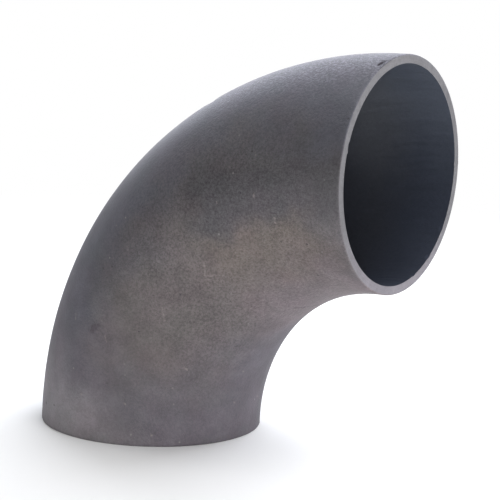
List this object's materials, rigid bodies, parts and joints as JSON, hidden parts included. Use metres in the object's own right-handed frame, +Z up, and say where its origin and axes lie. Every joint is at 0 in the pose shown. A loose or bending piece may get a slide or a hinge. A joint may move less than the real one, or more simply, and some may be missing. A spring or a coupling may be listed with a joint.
{
  "type": "butt weld elbow",
  "caption": "Seamless steel butt weld pipe elbow: a constant-wall long-radius quarter bend with square-cut ends, standing on its lower end.",
  "frame": {"origin": "centre of the lower end face, where the pipe axis leaves the elbow downwards", "axes": "+Z up along the lower pipe axis, +X along the upper pipe axis out of the upper end face; the XZ plane is the plane of the bend"},
  "size_m": [0.133, 0.076, 0.133],
  "materials": {
    "blasted_steel": "dark grey shot-blasted carbon steel, unpainted, dull with a faint sheen"
  },
  "bodies": {
    "root": {"elbow": "blasted_steel"}
  },
  "joints": []
}
